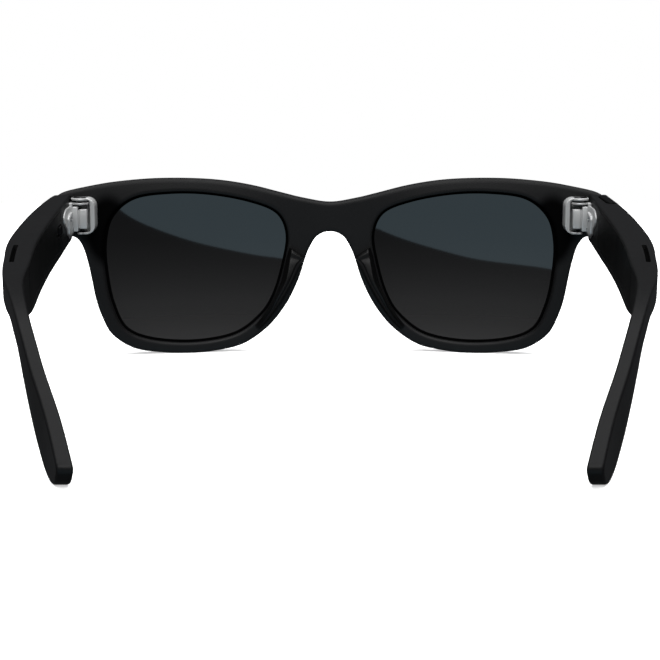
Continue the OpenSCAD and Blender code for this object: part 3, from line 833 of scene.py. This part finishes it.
cover_wall = [(i, ("in", d)) for i, d in rounding(0.2, 3, 0.4)] + [(0, ("in", 0.5))]
opening_wall = [(i, ("in", d)) for i, d in rounding(0.12, 3, 0.2)] + [(0, ("in", 0.5))]
cover_loop = round_rect((COVER_LOW[0] + COVER_GAP, COVER_LOW[1] + COVER_GAP),
                        (COVER_HIGH[0] - COVER_GAP, COVER_HIGH[1] - COVER_GAP), 0.55, 0.8)
knob_opening = round_rect((KNOB_U - KNOB_SPAN / 2, KNOB_W - KNOB_H / 2 - KNOB_SIDE_GAP),
                          (KNOB_U + KNOB_SPAN / 2, KNOB_W + KNOB_H / 2 + KNOB_SIDE_GAP), 0.5)

for side, name in SIDES:
    body = name + "_temple"
    shell = Shape()
    plate(shell, side_loop, [], temple_wall, None, on_temple, 1.8)
    piece = make("temple_" + name, sided(shell, side), [BLACK], body, ["temple_shell_" + name])
    recess = round_rect(COVER_LOW, COVER_HIGH, 0.6, 1.0)
    cut(piece, sided(block(recess, ("in", -1.0), ("in", COVER_DEEP), on_temple), side))
    cut(piece, sided(block(slot_loop(0.0), -1.1, 1.0, at_top(0, 0)), side))
    if side > 0:
        cut(piece, block(button_loop(BUTTON_GAP), -1.4, 1.0, at_top(BUTTON_X, BUTTON_U)))
    cover = Shape()
    plate(cover, cover_loop, [knob_opening] if side < 0 else [], cover_wall, opening_wall, on_temple, 1.8)
    make("inner_cover_" + name, sided(cover, side), [COVER], body, ["temple_cover_" + name])
    mesh = sided(block(slot_loop(-0.03), -1.09, -0.95, at_top(0, 0), 0.6), side)
    make("slot_mesh_" + name, mesh, [MESH_BLACK_AND_GROOVE_SHADE], body, ["speaker_mesh_" + name])


def on_button(p, w):
    """The button's top is softly domed across its width."""
    crown = 0.12 * (1 - (p[:, 0] / (BUTTON_W / 2)) ** 2) if w > 0.3 else 0.0
    return temple_point(BUTTON_X + p[:, 0], BUTTON_U - p[:, 1], np.full(len(p), float(w)) + crown)


button = Shape()
button_wall = [(0, -0.9), (0, 0.1), (0.04, 0.2), (0.12, 0.29), (0.24, 0.33), (0.45, 0.33)]
plate(button, button_loop(0), [], button_wall, None, on_button, 0.5)
make("capture_pad", button, [CONTROL], "capture_button", ["capture_button"])

knob_mid = KNOB_U - 0.5 * KNOB_SPAN + KNOB_END_GAP + KNOB_LEN / 2      # where it is at rest
RIB, RIB_PITCH = 0.09, 0.62


def on_knob(p, depth):
    """The knob has ribs across its top."""
    wave = RIB * np.cos((p[:, 0] - knob_mid) * 2 * math.pi / RIB_PITCH) if depth < -0.25 else 0
    return temple_point(x_in(p[:, 0]) + depth + wave, p[:, 0], p[:, 1])


knob = Shape()
knob_loop = round_rect((knob_mid - KNOB_LEN / 2, KNOB_W - KNOB_H / 2),
                       (knob_mid + KNOB_LEN / 2, KNOB_W + KNOB_H / 2), 0.35, 0.12)
plate(knob, knob_loop, [], [(0.3, -0.42), (0.15, -0.4), (0.04, -0.32), (0, -0.2), (0, 0.45)],
      None, on_knob, 0.12)
make("switch_knob", sided(knob, -1), [COVER], "power_switch", ["power_switch"])


# ---- the hinges ----

AXIS_Y = REAR_Y - AXIS_BACK
# Heights of the bracket's underside and top above the middle of the lenses, and its thickness
CLASP_LOW, CLASP_HIGH, CLASP_T = 10.05, 19.5, 0.55


def bevelled(shape, loop, low, high, place, r):
    """A loop drawn out between two depths, with rounded edges at both ends."""
    near = [(i, low + d) for i, d in rounding(r, 3, 0.12)]
    far = [(i, high - d) for i, d in rounding(r, 3, 0.12)][::-1]
    plate(shape, loop, [], near + far, None, place, 1.0)


def upright(p, z):
    """Points x, y from the hinge axis, at a height from the middle of the lenses."""
    return np.column_stack([AXIS_X + p[:, 0], AXIS_Y + p[:, 1], np.full(len(p), LENS_Z + z)])


def facing_back(p, y):
    """Points x, height, at a distance in front of the hinge axis."""
    return np.column_stack([p[:, 0], np.full(len(p), AXIS_Y + y), LENS_Z + p[:, 1]])


def half_round(r):
    return [(r * math.cos(a), r * math.sin(a)) for a in np.linspace(math.pi, 2 * math.pi, 22)]


def bracket_ear(r):
    """Round about the axis, and square where it joins the bracket's plate."""
    return respaced(np.array([(-1.6, -0.4)] + half_round(r)[4:] + [(r, 3.5), (-1.6, 3.5)]), 0.2)


def leaf_ear(r):
    """Round about the axis, and square where it joins the leaf."""
    return respaced(np.array([(-r, 0.9)] + half_round(r)[:-4] + [(3.6, -0.9), (3.6, 0.9)]), 0.25)


def clasp_loop(x0, x1, z0, z1, t, top_reach, low_reach):
    """A C of thickness t, open on the temple's side, with round corners on the lens side;
    its upright is x1 - x0 wide."""
    turn = np.linspace(0, math.pi / 2, 10)
    r, k = 2.3, 0.7                          # radius of its outer and its inner corners
    outer = ([(top_reach, z1)]
             + [(x0 + r - r * math.sin(a), z1 - r + r * math.cos(a)) for a in turn]
             + [(x0 + r - r * math.cos(a), z0 + r - r * math.sin(a)) for a in turn] + [(low_reach, z0)])
    inner = ([(low_reach, z0 + t)]
             + [(x1 + k - k * math.sin(a), z0 + t + k - k * math.cos(a)) for a in turn]
             + [(x1 + k - k * math.cos(a), z1 - t - k + k * math.sin(a)) for a in turn]
             + [(top_reach, z1 - t)])
    return respaced(np.array(outer + inner), 0.2)


def bracket():
    """The clasp, its two ears round the pin, and the plate behind them."""
    shape = Shape()
    clasp = clasp_loop(61.25, 62.5, CLASP_LOW, CLASP_HIGH, CLASP_T, top_reach=67.3, low_reach=65.7)
    bevelled(shape, clasp, -0.4, 5.2, facing_back, 0.18)
    bevelled(shape, bracket_ear(2.3), CLASP_HIGH - CLASP_T, CLASP_HIGH, upright, 0.16)
    bevelled(shape, bracket_ear(0.9), CLASP_LOW, CLASP_LOW + CLASP_T, upright, 0.16)
    bevelled(shape, round_rect((62.6, 10.6), (67.0, 18.9), 0.5), 3.4, 5.0, facing_back, 0.15)
    return shape


def leaf_place(p, x):
    """Points of the leaf as distance back and height on the temple, at x."""
    return temple_point(np.full(len(p), float(x)), p[:, 0], p[:, 1])


LEAF = [(2.5, -2.9), (8, -2.5), (13.5, -2.1), (16.2, -2.8), (17, -4.2), (16.3, -5.7), (13.2, -7.6),
        (9.8, -10.1), (8, -10.9), (5, -10.8), (2.5, -10.6)]
LEAF_FACE = 66.75              # x of its raised plate


def knuckle():
    """Two blocks beside the barrel, an ear, the bar to the leaf, and the leaf with a raised plate."""
    shape = Shape()
    bevelled(shape, round_rect((-1.95, -1.95), (0.08, 0.3), 0.25, 0.2), 11.7, 16.7, upright, 0.15)
    bevelled(shape, round_rect((0.4, -1.95), (2.0, 0.3), 0.25, 0.2), 10.95, 17.4, upright, 0.15)
    bevelled(shape, circle(1.6, 56), 11.75, 16.6, upright, 0.15)
    bevelled(shape, leaf_ear(2.2), 17.85, 18.4, upright, 0.16)
    bevelled(shape, round_rect((1.9, -1.7), (3.4, 0.9), 0.25, 0.2), 11.0, 18.3, upright, 0.15)
    bevelled(shape, respaced(smooth_curve(LEAF, True), 0.3)[::-1], 67.35, 68.2, leaf_place, 0.25)
    bevelled(shape, round_rect((3.2, -9.6), (12.6, -3.9), 1.5, 0.3), LEAF_FACE, 67.8, leaf_place, 0.3)
    return shape


def screw_head(shape, place, r):
    """A low domed head with a round recess in its middle."""
    lathe(shape, [(0, 0.02), (r * 0.42, 0.02), (r * 0.45, 0.12), (r * 0.5, 0.2), (r * 0.75, 0.17),
                  (r * 0.95, 0.06), (r, -0.05), (r, -0.5), (0, -0.5)], place, 40)


def on_axis(v):
    """For a lathe: its axis is the hinge's, just under the bracket's top."""
    return (AXIS_X + v[0], AXIS_Y + v[1], LENS_Z + 19.34 + v[2])


def on_leaf(u, w):
    """For a lathe: its axis points out of the leaf, towards the other temple."""
    x = LEAF_FACE - 0.03
    return lambda v: tuple(temple_point(np.array([x - v[2]]), np.array([u + v[0]]), np.array([w + v[1]]))[0])


for side, name in SIDES:
    body = name + "_temple"
    make("bracket_" + name, sided(bracket(), side), [CHROME], "front", ["hinge_bracket_" + name])
    make("knuckle_" + name, sided(knuckle(), side), [CHROME], body, ["hinge_knuckle_" + name])
    pin = Shape()
    screw_head(pin, on_axis, 1.1)
    make("pin_" + name, sided(pin, side), [STEEL], "front", ["hinge_pin_" + name])
    heads = Shape()
    for u, w in ((7.6, -8.6), (10.6, -5.0)):
        screw_head(heads, on_leaf(u, w), 0.95)
    make("leaf_screws_" + name, sided(heads, side), [STEEL], body, ["knuckle_screws_" + name])


# ---- windows and contacts ----

WINDOW, tree, shader = new_material("window_glass", (0.006, 0.006, 0.007), 0.06, ior=1.52, coat=0.4)
bump(tree, shader, object_noise(tree, 60, 1).outputs["Fac"], 0.000002)
OPTIC, tree, shader = new_material("camera_optic", (0.012, 0.01, 0.03), 0.03, ior=1.8, coat=1.0)
tinted(tree, shader, object_noise(tree, 500, 1).outputs["Fac"], (0.008, 0.008, 0.03), (0.03, 0.012, 0.04))
LAMP, tree, shader = new_material("lamp_diffuser", (0.75, 0.73, 0.66), 0.35)
tinted(tree, shader, object_noise(tree, 1500, 2).outputs["Fac"], (0.7, 0.68, 0.6), (0.8, 0.79, 0.72))

glass_r = WINDOW_R - 0.02
for x, name, hole in ((-WINDOW_X, "camera", 1.75), (WINDOW_X, "light", 0.95)):
    glass = Shape()
    lathe(glass, [(hole, 4.35), (hole, 4.62), (hole + 0.06, 4.68), (2.8, 4.72), (3.5, 4.7), (3.85, 4.62),
                  (glass_r, 4.48), (glass_r, 4.02), (hole, 4.02), (hole, 4.35)],
          facing_front(x, WINDOW_Z), 72)
    make(name + "_glass", glass, [WINDOW], "front", [name + "_window"])

optic = Shape()
lathe(optic, [(0, 4.58), (0.35, 4.565), (0.7, 4.52), (1.0, 4.45), (1.12, 4.38), (1.2, 4.5), (1.34, 4.52),
              (1.45, 4.4), (1.58, 4.55), (1.7, 4.56), (1.72, 4.45), (1.72, 2.4), (0, 2.4)],
      facing_front(-WINDOW_X, WINDOW_Z), 64)
make("camera_lens", optic, [OPTIC], "front", ["camera_module"])
lamp = Shape()
lathe(lamp, [(0, 4.6), (0.5, 4.58), (0.8, 4.5), (0.92, 4.4), (0.92, 2.0), (0, 2.0)],
      facing_front(WINDOW_X, WINDOW_Z), 40)
make("light_diffuser", lamp, [LAMP], "front", ["light_module"])

CONTACT_X, CONTACT_Z = 1.8, 9.05         # to each side of the middle, in the underside of the bridge


def under_bridge(x):
    """For a lathe: its axis points up into the bridge."""
    base = on_bow(x, CONTACT_Z)
    return lambda v: base((v[0], 3 + v[1], v[2]))


contacts = Shape()
for x in (-CONTACT_X, CONTACT_X):
    lathe(contacts, [(0, -0.05), (0.4, -0.05), (0.58, -0.01), (0.65, 0.1), (0.65, 1.6), (0, 1.6)],
          under_bridge(x), 36)
make("contact_pads", contacts, [GOLD], "front", ["charging_contacts"])


# ---- inner pieces that stay as they are: materials only ----

def film(name, low, high):
    """A smooth coated sheet whose colour varies in streaks between two shades."""
    m, tree, shader = new_material(name, low, 0.35, coat=0.2)
    tinted(tree, shader, object_noise(tree, 700, 3, (1, 8, 1)).outputs["Fac"], low, high)
    return m


FLEX = film("flex_film", (0.2, 0.1, 0.03), (0.32, 0.17, 0.05))
BOARD = film("board_green", (0.015, 0.08, 0.035), (0.03, 0.13, 0.06))
CELL = metal("cell_foil", (0.55, 0.56, 0.58), 0.38, (1, 6, 1), 300, 0.00001)
SEAL = moulded_black("seal_rubber", 0.014, 0.7)
MODULE = moulded_black("module_black", 0.012, 0.5)
kept = {"front_flex": FLEX, "temple_flex_left": FLEX, "temple_flex_right": FLEX, "touch_sensor": FLEX,
        "bridge_microphone": STEEL, "microphone_left": STEEL, "microphone_right": STEEL,
        "speaker_left": STEEL, "speaker_right": STEEL, "chip_shield": STEEL, "button_switch": STEEL,
        "bracket_screws": STEEL, "battery": CELL, "main_board": BOARD, "antenna": GOLD,
        "switch_contacts": MODULE, "button_seal": SEAL}
for node, material in kept.items():
    NODES[node].data.materials.clear()
    NODES[node].data.materials.append(material)


# ---- floor, light and camera ----

def glow(shader, color, strength):
    shader.inputs["Emission Color"].default_value = (*color, 1)
    shader.inputs["Emission Strength"].default_value = strength


floor_mesh = bpy.data.meshes.new("floor")
floor_mesh.from_pydata([(-0.6, -0.6, 0), (0.6, -0.6, 0), (0.6, 0.5, 0), (-0.6, 0.5, 0)], [], [(0, 1, 2, 3)])
floor_material, tree, shader = new_material("floor_pale", (0.9, 0.9, 0.9), 0.9, specular=0.0)
tinted(tree, shader, object_noise(tree, 6, 2).outputs["Fac"], (0.89, 0.89, 0.89), (0.91, 0.91, 0.91))
glow(shader, (1, 1, 1), 0.5)
floor_mesh.materials.append(floor_material)
floor = new_object("floor", floor_mesh)
floor.visible_glossy = False
floor.visible_diffuse = False

# A wide pale card behind the wearer, which only reflections show. Its curved top edge, as x and height
# from the middle of the lenses, ends what the lenses reflect.
CARD_BACK = 265
CARD_TOP = [(-240, -46), (-160, -41), (-98, -39.3), (-48, -39.4), (-12, -43.7), (31, -53), (74, -68),
            (110, -86), (160, -122), (240, -200)]
card_edge = [tuple(v) for v in smooth_curve(CARD_TOP, False, 6)] + [(240, -450), (-240, -450)]
card_mesh = bpy.data.meshes.new("card")
card_mesh.from_pydata([(x / 1000, (REAR_Y - CARD_BACK) / 1000, (LENS_Z + z) / 1000) for x, z in card_edge],
                      [], [tuple(range(len(card_edge)))])
card_material, tree, shader = new_material("card_pale", (0, 0, 0), 0.9, specular=0.0)
glow(shader, (0.485, 0.65, 0.745), 1.0)
card_mesh.materials.append(card_material)
card = new_object("card", card_mesh)
for sight in ("camera", "diffuse", "shadow", "transmission", "volume_scatter"):
    setattr(card, "visible_" + sight, False)


def soft_light(name, at, size, power, aim=(0, 0, 0.02)):
    """A rectangular lamp that faces a point."""
    data = bpy.data.lights.new(name, "AREA")
    data.shape = "RECTANGLE"
    data.size, data.size_y = size
    data.energy = power
    light = new_object(name, data)
    light.location = at
    light.rotation_euler = (Vector(aim) - Vector(at)).to_track_quat("-Z", "Y").to_euler()
    return light


soft_light("overhead", (0, -0.12, 1.1), (1.4, 1.0), 9.5, aim=(0, -0.12, 0))
soft_light("overhead_soft", (0, 0.15, 1.1), (1.4, 1.4), 24).visible_glossy = False
soft_light("fill", (0, -1.1, 0.85), (1.0, 0.6), 14)

# White where the camera looks past the floor. What lights the glasses is grey: dimmest a little above
# level, brightest overhead.
world = bpy.data.worlds.new("studio")
bpy.context.scene.world = world
world.use_nodes = True
tree = world.node_tree
tree.nodes.clear()
kinds = ("OutputWorld", "MixShader", "LightPath", "Background", "Background", "TexCoord", "SeparateXYZ",
         "ValToRGB")
out, mix, path, seen, lit, coord, split, sky = [tree.nodes.new("ShaderNode" + kind) for kind in kinds]
seen.inputs["Color"].default_value = (1, 1, 1, 1)
seen.inputs["Strength"].default_value = 1.0
lit.inputs["Strength"].default_value = 1.0
sky.color_ramp.elements[0].color = (0.1, 0.103, 0.108, 1)
sky.color_ramp.elements[1].color = (0.2, 0.206, 0.214, 1)
for at, shade in ((0.08, 0.05), (0.22, 0.045), (0.3, 0.07), (0.45, 0.065)):
    sky.color_ramp.elements.new(at).color = (shade, shade * 1.03, shade * 1.07, 1)
tree.links.new(coord.outputs["Generated"], split.inputs["Vector"])
tree.links.new(split.outputs["Z"], sky.inputs["Fac"])
tree.links.new(sky.outputs["Color"], lit.inputs["Color"])
tree.links.new(path.outputs["Is Camera Ray"], mix.inputs["Fac"])
tree.links.new(lit.outputs[0], mix.inputs[1])
tree.links.new(seen.outputs[0], mix.inputs[2])
tree.links.new(mix.outputs[0], out.inputs["Surface"])

# The camera, behind and above the front in mm, its tilt down in degrees and its focal length
CAMERA_BACK, CAMERA_UP, CAMERA_TILT, CAMERA_FOCUS = 461.47, 59.73, 9.5, 94.1
camera_data = bpy.data.cameras.new("camera")
camera_data.sensor_width = 36
camera_data.lens = CAMERA_FOCUS
camera_data.clip_start = 0.01
camera = new_object("camera", camera_data)
camera.location = (0, (REAR_Y - CAMERA_BACK) / 1000, (LENS_Z + CAMERA_UP) / 1000)
camera.rotation_euler = (math.radians(90 - CAMERA_TILT), 0, 0)
bpy.context.scene.camera = camera
bpy.context.scene.view_settings.view_transform = "Standard"
bpy.context.scene.view_settings.look = "None"
